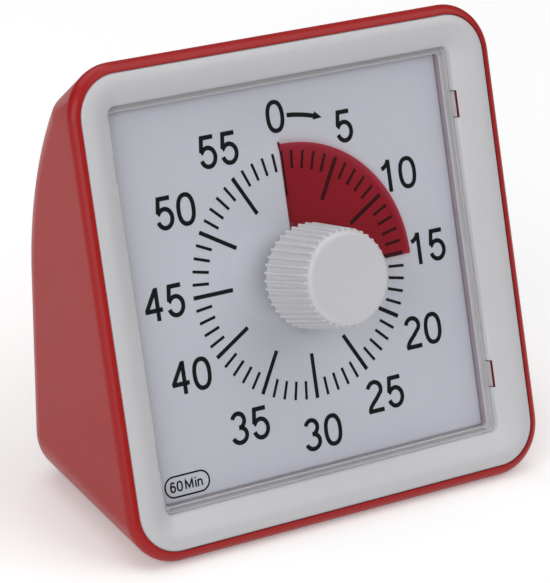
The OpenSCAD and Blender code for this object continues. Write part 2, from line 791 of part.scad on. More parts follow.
module switch_slider() color([0.1, 0.1, 0.1]) on_back()
    translate([switch_x - switch_travel / 2, switch_s, -wall - 0.1]) {
        translate([-switch_travel / 2 - 4, -2.1, -1.8]) cube([switch_travel + 8, 4.2, 1.5]);
        translate([-switch_travel / 2, -1.4, -0.4]) cube([switch_travel, 2.8, wall + 1.4]);
    }

// ---------- leads ----------

lead_r = 0.6;

module battery_leads() color([0.6, 0.1, 0.1]) {
    for (sx = [-1, 1]) lead([
        back_point(sx * (bay_w / 2 + 2.6), cell_s, -cell_depth),
        back_point(sx * (bay_w / 2 + 3.2), cell_s, -cell_depth - 12),
        dial_point(-sx * 24, board_v + 4, board_back - 9),
        dial_point(-sx * 15, board_v + 5, board_back - 0.7)
    ], lead_r);
}

module sound_leads() color([0.15, 0.15, 0.2])
    lead([
        back_point(sound_x, sound_s, -wall - 2.6),
        back_point(sound_x - 3, sound_s, -wall - 14),
        dial_point(-34, board_v + 2, board_back - 12),
        dial_point(-17, board_v - 6, board_back - 0.7)
    ], lead_r);

module switch_leads() color([0.2, 0.2, 0.6])
    lead([
        back_point(switch_x, switch_s, -wall - 5.7),
        back_point(switch_x + 3, switch_s, -wall - 16),
        dial_point(36, board_v + 2, board_back - 12),
        dial_point(17, board_v - 6, board_back - 0.7)
    ], lead_r);

rear_housing();
front_bezel();
window();
dial_card();
dial_tray();
time_disc();
disc_hub();
knob();
spindle();
clutch_washer();
time_wheel();
idler_wheel();
rotor_wheel();
movement_front_case();
movement_rear_case();
stator_plate();
drive_coil();
circuit_board();
control_chip();
quartz_crystal();
sound_disc();
sound_ring();
battery_cell();
contact_spring();
contact_plate();
battery_door();
switch_body();
switch_slider();
case_screws();
tray_screws();
movement_screws();
rubber_feet();
battery_leads();
sound_leads();
switch_leads();
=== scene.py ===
import math

import bmesh
import bpy
import numpy as np
from mathutils import Matrix, Vector
from mathutils.bvhtree import BVHTree


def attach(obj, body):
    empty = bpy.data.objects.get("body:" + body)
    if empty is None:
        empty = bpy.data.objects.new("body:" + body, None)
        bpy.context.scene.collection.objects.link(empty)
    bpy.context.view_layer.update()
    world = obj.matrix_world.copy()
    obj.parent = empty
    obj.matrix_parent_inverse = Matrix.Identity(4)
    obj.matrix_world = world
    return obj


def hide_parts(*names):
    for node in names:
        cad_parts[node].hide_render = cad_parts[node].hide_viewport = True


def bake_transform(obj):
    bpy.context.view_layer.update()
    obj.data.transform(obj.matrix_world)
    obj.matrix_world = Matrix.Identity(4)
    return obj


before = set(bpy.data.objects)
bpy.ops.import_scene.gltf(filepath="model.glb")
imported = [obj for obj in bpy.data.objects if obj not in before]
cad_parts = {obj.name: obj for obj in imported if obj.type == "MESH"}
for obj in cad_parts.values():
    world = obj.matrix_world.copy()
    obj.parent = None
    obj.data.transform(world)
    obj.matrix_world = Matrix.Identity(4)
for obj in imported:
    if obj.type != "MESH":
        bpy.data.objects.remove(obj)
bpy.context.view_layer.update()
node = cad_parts

# ---------------------------------------------------------------- sizes and frames
# Sizes are in millimetres, in one of three frames.
# DIAL: x to the right, y up the dial and z out of it, from the dial's centre.
# BACK: the same on the back's straight part, seen from behind, from its lower edge.
# WORLD: x to the right, y to the back and z up, from the middle of the floor under the timer.
LEAN_DEG = 8.5
TILT, LEAN = math.radians(23.8), math.radians(LEAN_DEG)
COS_TILT, SIN_TILT = math.cos(TILT), math.sin(TILT)
COS_LEAN, SIN_LEAN = math.cos(LEAN), math.sin(LEAN)
BASE = 0.8  # the case's underside, which the feet lift off the floor
DEPTH = 73.4
WALL = 2.6
FACE_W, FACE_H, FACE_R = 140.0, 139.0, 15.0
DIAL_UP = 0.25  # the dial's centre above the face's
RIM_R, RIM_N = 2.8, 8.3
EDGE_R = 8.5
BACK_R = 100.0  # the back's upper part is round, from where its straight part ends up to ARC_TOP degrees
ARC_TOP = 22
DIAL_Y = -DEPTH / 2 + (FACE_H / 2 + DIAL_UP - RIM_R) * SIN_TILT + (RIM_N - RIM_R) * COS_TILT + RIM_R
DIAL_Z = BASE + (FACE_H / 2 + DIAL_UP - RIM_R) * COS_TILT - (RIM_N - RIM_R) * SIN_TILT + RIM_R
ARC_Y, ARC_Z = DEPTH / 2 - BACK_R, DIAL_Z + 14.8
SLOPE = (ARC_Z - BACK_R * SIN_LEAN - BASE) / COS_LEAN
BACK_Y = ARC_Y + BACK_R * COS_LEAN - SLOPE * SIN_LEAN
LOW_EDGE_Z = BASE + EDGE_R
LOW_EDGE_Y = ARC_Y + (BACK_R - EDGE_R + (LOW_EDGE_Z - ARC_Z) * SIN_LEAN) / COS_LEAN
DIAL = Matrix(((1, 0, 0, 0), (0, SIN_TILT, -COS_TILT, DIAL_Y), (0, COS_TILT, SIN_TILT, DIAL_Z), (0, 0, 0, 1)))
BACK = Matrix(((-1, 0, 0, 0), (0, SIN_LEAN, COS_LEAN, BACK_Y), (0, COS_LEAN, -SIN_LEAN, BASE), (0, 0, 0, 1)))
WORLD = Matrix.Identity(4)
TO_METRES = Matrix.Scale(0.001, 4)
OUT_OF_DIAL = Vector((0, -COS_TILT, SIN_TILT))


# ---------------------------------------------------------------- shader nodes
def new_material(name):
    material = bpy.data.materials.new(name)
    material.use_nodes = True
    tree = material.node_tree
    return material, tree, tree.nodes["Principled BSDF"]


def coords(tree):
    return tree.nodes.new("ShaderNodeTexCoord").outputs["Object"]


def noise(tree, vector, scale, detail=3.0, rough=0.5):
    n = tree.nodes.new("ShaderNodeTexNoise")
    n.inputs["Scale"].default_value = scale
    n.inputs["Detail"].default_value = detail
    n.inputs["Roughness"].default_value = rough
    tree.links.new(vector, n.inputs["Vector"])
    return n.outputs["Fac"]


def ramp(tree, value, from_low, from_high, to_low, to_high):
    r = tree.nodes.new("ShaderNodeMapRange")
    r.inputs["From Min"].default_value = from_low
    r.inputs["From Max"].default_value = from_high
    r.inputs["To Min"].default_value = to_low
    r.inputs["To Max"].default_value = to_high
    tree.links.new(value, r.inputs["Value"])
    return r.outputs["Result"]


def math_node(tree, operation, a, b):
    m = tree.nodes.new("ShaderNodeMath")
    m.operation = operation
    for i, x in enumerate((a, b)):
        if isinstance(x, float):
            m.inputs[i].default_value = x
        else:
            tree.links.new(x, m.inputs[i])
    return m.outputs["Value"]


def mix_colours(tree, share, a, b):
    """Mixes two colours, each a tuple or another node's output."""
    m = tree.nodes.new("ShaderNodeMix")
    m.data_type = "RGBA"
    tree.links.new(share, m.inputs["Factor"])
    for key, x in (("A", a), ("B", b)):
        if isinstance(x, tuple):
            m.inputs[key].default_value = (*x, 1)
        else:
            tree.links.new(x, m.inputs[key])
    return m.outputs["Result"]


def bump(tree, surface, height, strength, distance):
    b = tree.nodes.new("ShaderNodeBump")
    b.inputs["Strength"].default_value = strength
    b.inputs["Distance"].default_value = distance
    tree.links.new(height, b.inputs["Height"])
    tree.links.new(b.outputs["Normal"], surface.inputs["Normal"])


# share of lighter colour on convex edges: wear, and on the red and white plastics a painted highlight
def edge_wear_and_sheen(tree):
    geometry = tree.nodes.new("ShaderNodeNewGeometry")
    return ramp(tree, geometry.outputs["Pointiness"], 0.52, 0.60, 0.0, 0.6)


def see_through(tree, tint, share):
    """Puts only a share of the surface in front of tinted transparency."""
    clear_part = tree.nodes.new("ShaderNodeBsdfTransparent")
    clear_part.inputs["Color"].default_value = (*tint, 1)
    mix = tree.nodes.new("ShaderNodeMixShader")
    tree.links.new(share, mix.inputs["Fac"])
    tree.links.new(clear_part.outputs["BSDF"], mix.inputs[1])
    tree.links.new(tree.nodes["Principled BSDF"].outputs["BSDF"], mix.inputs[2])
    tree.links.new(mix.outputs["Shader"], tree.nodes["Material Output"].inputs["Surface"])


# ---------------------------------------------------------------- materials
def srgb(*levels):
    """A colour given as 0 to 255 levels, as the linear one that the shaders take."""
    shares = [level / 255 for level in levels]
    return tuple(c / 12.92 if c <= 0.04045 else ((c + 0.055) / 1.055) ** 2.4 for c in shares)


def plastic(name, colour, rough, grain=0.0, grain_size=1800.0, spread=0.06, shade=0.93, metal=0.0,
            wear_and_sheen=None, specular=0.5, coat=0.0, mottle=24.0):
    """Moulded or metal surface: faint mottling of colour, uneven roughness, fine grain and lighter edges,
    partly wear and partly painted highlight.
    """
    material, tree, surface = new_material(name)
    place = coords(tree)
    patches = ramp(tree, noise(tree, place, mottle, 4.0, 0.55), 0.35, 0.65, 0.0, 1.0)
    shown = mix_colours(tree, patches, tuple(c * shade for c in colour), colour)
    if wear_and_sheen is not None:
        shown = mix_colours(tree, edge_wear_and_sheen(tree), shown, wear_and_sheen)
    tree.links.new(shown, surface.inputs["Base Color"])
    smear = noise(tree, place, 60.0, 5.0, 0.6)
    tree.links.new(ramp(tree, smear, 0.3, 0.7, rough - spread, rough + spread), surface.inputs["Roughness"])
    surface.inputs["Metallic"].default_value = metal
    surface.inputs["Specular IOR Level"].default_value = specular
    surface.inputs["Coat Weight"].default_value = coat
    surface.inputs["Coat Roughness"].default_value = 0.06
    if grain:
        bump(tree, surface, noise(tree, place, grain_size, 2.0, 0.5), grain, 0.00006)
    return material


HEAD_ON = 0.042  # the share of light that clear plastic mirrors when seen head on


def clear(name, tint, rough):
    """Thin clear sheet: it lets light straight through and mirrors by the Fresnel law."""
    material, tree, surface = new_material(name)
    surface.inputs["Base Color"].default_value = (1, 1, 1, 1)
    surface.inputs["Metallic"].default_value = 1.0
    place = coords(tree)
    smear = noise(tree, place, 40.0, 4.0)
    tree.links.new(ramp(tree, smear, 0.3, 0.7, rough * 0.6, rough * 1.6), surface.inputs["Roughness"])
    bump(tree, surface, noise(tree, place, 12.0, 1.0), 0.08, 0.0002)
    layer = tree.nodes.new("ShaderNodeLayerWeight")
    layer.inputs["Blend"].default_value = 0.5
    geometry = tree.nodes.new("ShaderNodeNewGeometry")
    grazing = math_node(tree, "POWER", layer.outputs["Facing"], 5.0)
    outside = math_node(tree, "SUBTRACT", 1.0, geometry.outputs["Backfacing"])
    mirrored = ramp(tree, grazing, 0.0, 1.0, HEAD_ON, 1.0)
    see_through(tree, tint, math_node(tree, "MULTIPLY", mirrored, outside))
    return material


def tinted(name, colour, tint, share):
    """Thin translucent sheet: a share of it is coloured plastic, the rest lets tinted light through."""
    material = plastic(name, colour, 0.42, grain=0.05, shade=0.94, specular=0.35)
    tree = material.node_tree
    cloud = noise(tree, coords(tree), 90.0)
    see_through(tree, tint, ramp(tree, cloud, 0.3, 0.7, share - 0.01, share + 0.01))
    return material


# the lighter edge colours below are partly wear and partly painted highlight
MATERIAL = {
    "case": plastic("case_red", srgb(165, 23, 24), 0.34, grain=0.06, shade=0.97, wear_and_sheen=srgb(186, 36, 37),
                    specular=0.33, spread=0.03, mottle=14.0),
    # a darker copy of the case red for the inside and the cut openings: painted shade
    "case_in": plastic("case_red_inside_shaded", srgb(118, 20, 26), 0.5, grain=0.2),
    "frame": plastic("frame_white", srgb(204, 203, 206), 0.42, grain=0.06, shade=0.985,
                     wear_and_sheen=srgb(214, 213, 215)),
    # the frame's white darkened to mauve-grey: painted shade with a painted red reflection, for the inner
    # wall below the window
    "frame_wall_shade": plastic("frame_wall_shade", srgb(170, 153, 168), 0.5, grain=0.06, shade=0.97),
    "card": plastic("card_board", srgb(210, 211, 222), 0.62, grain=0.10, shade=0.985, specular=0.3),
    "tray": plastic("tray_plastic", srgb(215, 215, 217), 0.5, grain=0.15),
    "disc": plastic("disc_red", srgb(150, 22, 32), 0.5, grain=0.08, shade=0.94, specular=0.3),
    "tinted": tinted("disc_red_clear", (0.2, 0.012, 0.02), (0.93, 0.36, 0.44), 0.12),
    "knob": plastic("knob_white", srgb(206, 205, 208), 0.36, grain=0.05, shade=0.985,
                    wear_and_sheen=srgb(216, 215, 218)),
    "ink": plastic("ink_black", srgb(5, 7, 13), 0.55, shade=0.85, specular=0.08, mottle=300.0),
    "window": clear("window_clear", (0.985, 0.988, 0.985), 0.035),
    # whitish, mostly opaque edge for the window and its tabs: a painted highlight where the lit edge shows
    # bright
    "edge": tinted("window_edge_highlight", srgb(226, 224, 229), (0.95, 0.95, 0.96), 0.62),
    "steel": plastic("steel", srgb(190, 190, 192), 0.28, metal=1.0, shade=0.85, mottle=90.0),
    "spring": plastic("spring_steel", srgb(205, 205, 206), 0.2, metal=1.0, shade=0.88, mottle=90.0),
    "brass": plastic("brass", srgb(205, 170, 95), 0.3, metal=1.0, shade=0.86, mottle=90.0),
    "copper": plastic("copper_wire", srgb(196, 112, 66), 0.3, metal=1.0, shade=0.8, mottle=200.0),
    "movement": plastic("movement_plastic", srgb(205, 208, 212), 0.5, grain=0.15),
    "wheel": plastic("wheel_plastic", srgb(235, 228, 205), 0.45, grain=0.1),
    "board": plastic("board_green", srgb(30, 92, 58), 0.35, shade=0.8, mottle=160.0),
    "black": plastic("black_plastic", srgb(34, 34, 36), 0.42, grain=0.18, wear_and_sheen=srgb(60, 60, 62)),
    "cell": plastic("cell_jacket", srgb(52, 58, 70), 0.25, shade=0.85, coat=0.5),
    "rubber": plastic("foot_rubber", srgb(38, 38, 40), 0.8, grain=0.5, grain_size=2600.0),
    "lead_red": plastic("lead_red", srgb(150, 30, 30), 0.45, shade=0.85),
    "lead_blue": plastic("lead_blue", srgb(40, 50, 110), 0.45, shade=0.85),
    "lead_black": plastic("lead_black", srgb(40, 40, 44), 0.45, shade=0.85),
}
NODE_MATERIAL = {
    "dial_card": "card", "dial_tray": "tray", "disc_hub": "wheel", "spindle": "steel",
    "clutch_washer": "brass", "time_wheel": "wheel", "idler_wheel": "wheel", "rotor_wheel": "steel",
    "movement_front_case": "movement", "movement_rear_case": "movement", "stator_plate": "steel",
    "drive_coil": "copper", "circuit_board": "board", "control_chip": "black",
    "quartz_crystal": "spring", "sound_disc": "brass", "sound_ring": "black", "battery_cell": "cell",
    "contact_spring": "spring", "contact_plate": "spring", "battery_door": "case",
    "switch_body": "black", "switch_slider": "black", "case_screws": "steel",
    "tray_screws": "steel", "movement_screws": "steel", "rubber_feet": "rubber",
    "battery_leads": "lead_red", "sound_leads": "lead_black", "switch_leads": "lead_blue",
    "window": "window", "rear_housing": "case", "front_bezel": "frame",
    "knob": "knob", "time_disc": "disc",
}
for name, key in NODE_MATERIAL.items():
    node[name].data.materials.clear()
    node[name].data.materials.append(MATERIAL[key])


# ---------------------------------------------------------------- outlines and solids
def rounded(half_x, half_y, r, n, centre_y=0.0, steps=10):
    """Rectangle with round corners, at level n."""
    out = []
    for quarter, (sx, sy) in enumerate(((1, 1), (-1, 1), (-1, -1), (1, -1))):
        for i in range(steps + 1):
            a = math.radians(90 * quarter + 90 * i / steps)
            out.append((sx * (half_x - r) + r * math.cos(a),
                        centre_y + sy * (half_y - r) + r * math.sin(a), n))
    return out


def flat(half_x, half_y, r, steps=10):
    return [(x, y) for x, y, _ in rounded(half_x, half_y, r, 0, 0.0, steps)]


def circle(x, y, r, steps):
    turns = [2 * math.pi * i / steps for i in range(steps)]
    return [(x + r * math.cos(a), y + r * math.sin(a)) for a in turns]


def arc(cx, cy, rx, ry, start, end, steps, power=1.0):
    """Part of an ellipse, in degrees. A power below 1 makes it squarer."""
    out = []
    for i in range(steps + 1):
        a = math.radians(start + (end - start) * i / steps)
        c, s = math.cos(a), math.sin(a)
        out.append((cx + rx * math.copysign(abs(c) ** power, c),
                    cy + ry * math.copysign(abs(s) ** power, s)))
    return out


def loft(rings, around=True, close=False, caps=False):
    """Quads between rings of equal length. Close joins the last ring to the first."""
    n = len(rings[0])
    verts = [p for ring in rings for p in ring]
    faces = []
    for i in range(len(rings) if close else len(rings) - 1):
        a, b = i * n, ((i + 1) % len(rings)) * n
        for k in range(n if around else n - 1):
            m = (k + 1) % n
            faces.append((a + k, a + m, b + m, b + k))
    if caps:
        faces.append(tuple(reversed(range(n))))
        faces.append(tuple(range((len(rings) - 1) * n, len(rings) * n)))
    return verts, faces


def box(low, high):
    corners = ((0, 0), (1, 0), (1, 1), (0, 1))
    ends = (low, high)
    verts = [(ends[i][0], ends[j][1], end[2]) for end in ends for i, j in corners]
    faces = [(3, 2, 1, 0), (4, 5, 6, 7), (0, 1, 5, 4), (1, 2, 6, 5), (2, 3, 7, 6), (3, 0, 4, 7)]
    return verts, faces


def rod(x, y, r, low, high, steps=40):
    return loft([[(px, py, n) for px, py in circle(x, y, r, steps)] for n in (low, high)], caps=True)


def join(solids):
    verts, faces = [], []
    for more_verts, more_faces in solids:
        faces += [tuple(i + len(verts) for i in face) for face in more_faces]
        verts += more_verts
    return verts, faces


# ---------------------------------------------------------------- meshes
def link(name, data):
    o = bpy.data.objects.new(name, data)
    bpy.context.scene.collection.objects.link(o)
    return o


def weld(mesh):
    """Joins points that fall together and turns all faces outwards."""
    bm = bmesh.new()
    bm.from_mesh(mesh)
    bmesh.ops.remove_doubles(bm, verts=bm.verts, dist=1e-7)
    bmesh.ops.recalc_face_normals(bm, faces=bm.faces)
    bm.to_mesh(mesh)
    bm.free()


def sharpen(mesh, angle=32.0):
    """Smooth faces, with the edges that turn more than the angle kept sharp."""
    bm = bmesh.new()
    bm.from_mesh(mesh)
    limit = math.radians(angle)
    for face in bm.faces:
        face.smooth = True
    for edge in bm.edges:
        edge.smooth = not (len(edge.link_faces) == 2 and edge.calc_face_angle(0.0) > limit)
    bm.to_mesh(mesh)
    bm.free()


def build(name, verts, faces, place, material, angle=32.0):
    mesh = bpy.data.meshes.new(name)
    mesh.from_pydata([tuple(TO_METRES @ place @ Vector(p)) for p in verts], [], faces)
    weld(mesh)
    sharpen(mesh, angle)
    mesh.materials.append(MATERIAL[material])
    return link(name, mesh)


def plate(name, outlines, low, high, bevel, place, material):
    """Flat plate with holes and rounded edges, from closed outlines."""
    curve = bpy.data.curves.new(name, "CURVE")
    curve.dimensions = "2D"
    curve.fill_mode = "BOTH"
    for outline in outlines:
        spline = curve.splines.new("POLY")
        spline.points.add(len(outline) - 1)
        for point, (x, y) in zip(spline.points, outline):
            point.co = (x, y, 0, 1)
        spline.use_cyclic_u = True
    curve.extrude = (high - low) / 2 - bevel
    curve.bevel_depth = bevel
    curve.bevel_resolution = 3
    curve.offset = -bevel
    drawn = link(name + "_curve", curve)
    deps = bpy.context.evaluated_depsgraph_get()
    mesh = bpy.data.meshes.new_from_object(drawn.evaluated_get(deps))
    bpy.data.objects.remove(drawn)
    bpy.data.curves.remove(curve)
    mesh.transform(TO_METRES @ place @ Matrix.Translation((0, 0, (low + high) / 2)))
    weld(mesh)
    sharpen(mesh)
    axis = place.to_3x3() @ Vector((0, 0, 1))
    for face in mesh.polygons:
        if abs(face.normal.dot(axis)) > 0.9999:
            face.use_smooth = False
    mesh.name = name
    mesh.materials.clear()
    mesh.materials.append(MATERIAL[material])
    return link(name, mesh)


def subtract(target, tool):
    """Cuts the tool out of the target for good, and removes the tool."""
    modifier = target.modifiers.new("b", "BOOLEAN")
    modifier.operation = "DIFFERENCE"
    modifier.solver = "EXACT"
    modifier.object = tool
    modifier.material_mode = "TRANSFER"
    deps = bpy.context.evaluated_depsgraph_get()
    mesh = bpy.data.meshes.new_from_object(target.evaluated_get(deps))
    target.modifiers.clear()
    old = target.data
    target.data = mesh
    mesh.name = old.name
    bpy.data.meshes.remove(old)
    tool_mesh = tool.data
    bpy.data.objects.remove(tool)
    bpy.data.meshes.remove(tool_mesh)


def cut(target, solid, place):
    """Cuts a solid, as points and faces, out of the target. The cut faces get the inside's darker red,
    painted shade.
    """
    subtract(target, build("cutter", *solid, place, "case_in", 30))


# ---------------------------------------------------------------- the case
OVER = 1  # how far a cut runs past the surface that it opens
# the case screws, on the dial
SCREW_X, SCREW_Y = 61, 50
SCREW_R, SCREW_LOW, SCREW_TOP = 1.3, -40, 0
SCREW_HEAD_R, SCREW_HEAD_TOP = 2.9, -12.2
BOSS_R, BOSS_LOW, BOSS_TOP = 3.9, -30, -3.2
# the sounder, on the back
SOUND_X, SOUND_Y = 46, 24
SOUND_SEAT_R, SOUND_SEAT_LOW = 11.6, -4.4
SOUND_POCKET_R, SOUND_POCKET_LOW, SOUND_POCKET_TOP = 10, -6.6, -2.0
SOUND_HOLE_R, SOUND_HOLE_LOW, SOUND_HOLES_AT = 0.8, -3, 3.6
# the finger recess, on the back, and the feet's seats, in the world
FINGER_Y, FINGER_R, FINGER_LOW = 30, 7, -0.8
FOOT_X, FOOT_YS, FOOT_POCKET_R, FOOT_SEAT = 46, (-20.7, LOW_EDGE_Y - 4), 5.15, 1.6
# the pocket for the white frame, on the dial: half width, half height and corner radius
FRAME_POCKET = (67.13, 66.63, 12.13)
POCKET_LOW, POCKET_TOP = 4.4, 12
# boxes on the back, as lowest and highest corners
BAY_WALLS = ((-30.6, 11.5, -19.2), (30.6, 31.5, 0.1))
BAY = ((-29, 13.1, -17.6), (29, 29.9, OVER))
DOOR_SEAT = ((-32, 10, -2.0), (32, 33, OVER))
LATCH_NOTCH = ((-5.4, 28, -4.4), (5.4, 32.9, -1))
SWITCH_SLOT = ((-49.8, 25.8, -6), (-41.2, 29.2, OVER))


def spread(start, end, count):
    return [math.radians(a) for a in np.linspace(start, end, count)]


def case_samples(inset, fine):
    """Points of the case's form, drawn in by the inset, and the exact normal at each."""
    points, normals = [], []

    def add(p, n):
        points.append(tuple(p))
        normals.append(tuple(n))

    # the face's rim: a tube round its four corners
    rim = max(RIM_R - inset, 0.3)
    ring = FACE_R - inset - rim
    turns = [math.radians(90 * i / (3 * fine)) for i in range(3 * fine + 1)]
    tubes = sorted(spread(-90, 90, 4 * fine + 1) + [-TILT])
    to_world = DIAL.to_3x3()
    for sx in (1, -1):
        for sy in (1, -1):
            for a in turns:
                d = Vector((sx * math.cos(a), sy * math.sin(a), 0))
                c = Vector((sx * (FACE_W / 2 - FACE_R), -DIAL_UP + sy * (FACE_H / 2 - FACE_R), RIM_N - RIM_R))
                for b in tubes:
                    n = d * math.cos(b) + Vector((0, 0, math.sin(b)))
                    add(DIAL @ (c + d * ring + n * rim), to_world @ n)

    tube = EDGE_R - inset
    quarter = spread(0, 90, 3 * fine + 1)
    rise = sorted(spread(-40, 90, 3 * fine + 1) + [0.0, math.pi / 2 - LEAN])
    reach = BACK_R - EDGE_R
    top = math.radians(ARC_TOP)

    def add_edge(c, out, sx):
        for b in quarter:
            n = out * math.cos(b) + Vector((sx * math.sin(b), 0, 0))
            add(c + n * tube, n)

    for sx in (1, -1):
        # the lower back corner
        c = Vector((sx * (FACE_W / 2 - FACE_R), LOW_EDGE_Y, BASE + FACE_R))
        for a in quarter:
            d = Vector((sx * math.cos(a), 0, -math.sin(a)))
            for b in rise:
                n = d * math.cos(b) + Vector((0, math.sin(b), 0))
                add(c + d * (FACE_R - EDGE_R) + n * tube, n)
        # the side edge of the round back, and of its top
        x = sx * (FACE_W / 2 - EDGE_R)
        for a in spread(-LEAN_DEG, ARC_TOP, 31):
            out = Vector((0, math.cos(a), math.sin(a)))
            add_edge(Vector((x, ARC_Y, ARC_Z)) + out * reach, out, sx)
        c = Vector((x, ARC_Y + reach * math.cos(top), ARC_Z + reach * math.sin(top)))
        for a in spread(ARC_TOP, 100, 3 * fine):
            add_edge(c, Vector((0, math.cos(a), math.sin(a))), sx)
    return points, normals


def hull(name, inset, fine, material):
    """The case's form as one closed mesh, with its triangles and the exact normal at each point."""
    bm = bmesh.new()
    layer = bm.verts.layers.float_vector.new("exact")
    for p, n in zip(*case_samples(inset, fine)):
        bm.verts.new(TO_METRES @ Vector(p))[layer] = n
    result = bmesh.ops.convex_hull(bm, input=bm.verts, use_existing_faces=False)
    gone = {v for v in result["geom_interior"] if isinstance(v, bmesh.types.BMVert)}
    gone |= {v for v in result["geom_unused"] if isinstance(v, bmesh.types.BMVert)}
    bmesh.ops.delete(bm, geom=list(gone), context="VERTS")
    bmesh.ops.delete(bm, geom=[v for v in bm.verts if not v.link_faces], context="VERTS")
    bmesh.ops.recalc_face_normals(bm, faces=bm.faces)
    bm.faces.ensure_lookup_table()
    exact = [Vector(v[layer]) for v in bm.verts]
    tree = BVHTree.FromBMesh(bm)
    triangles = [[v.index for v in face.verts] for face in bm.faces]
    places = [v.co.copy() for v in bm.verts]
    mesh = bpy.data.meshes.new(name)
    bm.to_mesh(mesh)
    bm.free()
    mesh.materials.append(MATERIAL[material])
    return link(name, mesh), (tree, triangles, places, exact)


def corner_shares(p, a, b, c):
    """How much each corner of a triangle counts at p, or None where the triangle has no area."""
    ab, ac, ap = b - a, c - a, p - a
    d00, d01, d11 = ab.dot(ab), ab.dot(ac), ac.dot(ac)
    d20, d21 = ap.dot(ab), ap.dot(ac)
    area_squared = d00 * d11 - d01 * d01
    if abs(area_squared) < 1e-24:
        return None
    at_b = min(max((d11 * d20 - d01 * d21) / area_squared, 0), 1)
    at_c = min(max((d00 * d21 - d01 * d20) / area_squared, 0), 1)
    return max(1 - at_b - at_c, 0), at_b, at_c


def set_exact_normals(o, skin):
    """Gives the outer skin its exact normals. Cut faces stay flat, or smooth by angle."""
    tree, triangles, places, exact = skin
    mesh = o.data
    sharpen(mesh, 30)
    mesh.update()
    normals = [Vector(n.vector) for n in mesh.corner_normals]
    for face in mesh.polygons:
        if face.material_index != 0:
            continue
        near, near_normal, _, distance = tree.find_nearest(face.center)
        if near is None or distance > 2e-5 or near_normal.dot(face.normal) < 0.99:
            continue
        for corner in face.loop_indices:
            p = mesh.vertices[mesh.loops[corner].vertex_index].co
            hit, _, index, _ = tree.find_nearest(p + (face.center - p) * 0.02)
            ids = triangles[index]
            shares = corner_shares(hit, *(places[i] for i in ids))
            if shares is None:
                continue
            n = sum((exact[i] * share for i, share in zip(ids, shares)), Vector((0, 0, 0)))
            if n.length > 0.1:
                normals[corner] = n.normalized()
    mesh.normals_split_custom_set([tuple(n) for n in normals])


def case_shell():
    shell, skin = hull("case_shell", 0.0, 5, "case")
    hollow, _ = hull("cutter_inner", WALL, 2, "case_in")
    # what stays standing in the hollow: the bay's walls, the screws' bosses and the sounder's seat
    cut(hollow, box(*BAY_WALLS), BACK)
    for sx in (-1, 1):
        cut(hollow, rod(sx * SCREW_X, SCREW_Y, BOSS_R, BOSS_LOW, BOSS_TOP), DIAL)
    cut(hollow, rod(SOUND_X, SOUND_Y, SOUND_SEAT_R, SOUND_SEAT_LOW, 0), BACK)
    subtract(shell, hollow)
    pocket = [rounded(*FRAME_POCKET, n, -DIAL_UP) for n in (POCKET_LOW, POCKET_TOP)]
    cut(shell, loft(pocket, caps=True), DIAL)
    for opening in (BAY, DOOR_SEAT, LATCH_NOTCH):
        cut(shell, box(*opening), BACK)
    cut(shell, rod(0, FINGER_Y, FINGER_R, FINGER_LOW, OVER, 48), BACK)
    for sx in (-1, 1):
        cut(shell, rod(sx * SCREW_X, SCREW_Y, SCREW_R, SCREW_LOW, SCREW_TOP, 24), DIAL)
        cut(shell, rod(sx * SCREW_X, SCREW_Y, SCREW_HEAD_R, SCREW_LOW, SCREW_HEAD_TOP), DIAL)
    cut(shell, rod(SOUND_X, SOUND_Y, SOUND_POCKET_R, SOUND_POCKET_LOW, SOUND_POCKET_TOP), BACK)
    for k in range(7):
        at = SOUND_HOLES_AT if k else 0  # the first one is in the middle
        x, y = SOUND_X + at * math.cos(math.pi * k / 3), SOUND_Y + at * math.sin(math.pi * k / 3)
        cut(shell, rod(x, y, SOUND_HOLE_R, SOUND_HOLE_LOW, OVER, 20), BACK)
    cut(shell, box(*SWITCH_SLOT), BACK)
    for sx in (-1, 1):
        for y in FOOT_YS:
            cut(shell, rod(sx * FOOT_X, y, FOOT_POCKET_R, -OVER, FOOT_SEAT), WORLD)
    set_exact_normals(shell, skin)
    return shell


case = case_shell()
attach(case, "root")
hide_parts("rear_housing")

# ---------------------------------------------------------------- the white frame
FRAME_X, FRAME_Y, FRAME_R = 67.1, 66.6, 12.1
OPENING, OPENING_R = 57.1, 2.4
SLOPE_W = 10.0
# the frame's section: how far in from its outer edge, and the level there
BEZEL = [
    (0.0, 5.6), (0.0, 7.55), (0.05, 7.83), (0.2, 8.08), (0.42, 8.26), (0.75, 8.42), (1.3, 8.6), (2.0, 8.76),
    (2.8, 8.85), (3.5, 8.84), (4.2, 8.72), (5.0, 8.45), (6.0, 7.98), (7.0, 7.42), (8.0, 6.8), (9.0, 6.14),
    (9.55, 5.72), (9.8, 5.5), (9.93, 5.3), (9.98, 5.05), (10.0, 4.6), (10.0, 2.62), (10.1, 2.5),
    (11.6, 2.5), (11.8, 2.44), (11.88, 2.28), (11.9, 2.1), (11.9, 0.1), (8.5, 0.1), (8.5, 4.4), (1.5, 6.6),
    (1.5, 5.6),
]
SHADED_WALL_TOP, SHADED_WALL_HALF = 2.05, 55.4  # faces below this level and inside this line get the wall's painted shade
TAB_Y = 40  # of the window's four tabs and their slots
SLOT_X, SLOT_HALF, SLOT_LOW, SLOT_TOP = (56.7, 57.65), 4, -1, 12
POST_R, POST_TOP, TRAY_POST_LOW, CASE_POST_LOW = 2.8, 5.2, -2.6, -2.7
SIDES = [(sx, sy) for sx in (-1, 1) for sy in (-1, 1)]


def frame_mesh():
    rings = []
    for inward, n in BEZEL:
        share = min(inward / SLOPE_W, 1.0)
        beyond = max(inward - SLOPE_W, 0.0)
        half_x = FRAME_X + (OPENING - FRAME_X) * share - beyond
        half_y = FRAME_Y + (OPENING - FRAME_Y) * share - beyond
        r = FRAME_R + (OPENING_R - FRAME_R) * share - beyond * 0.6
        rings.append(rounded(half_x, half_y, max(r, 0.6), n, -DIAL_UP * (1 - share), 14))
    return loft(rings, close=True)


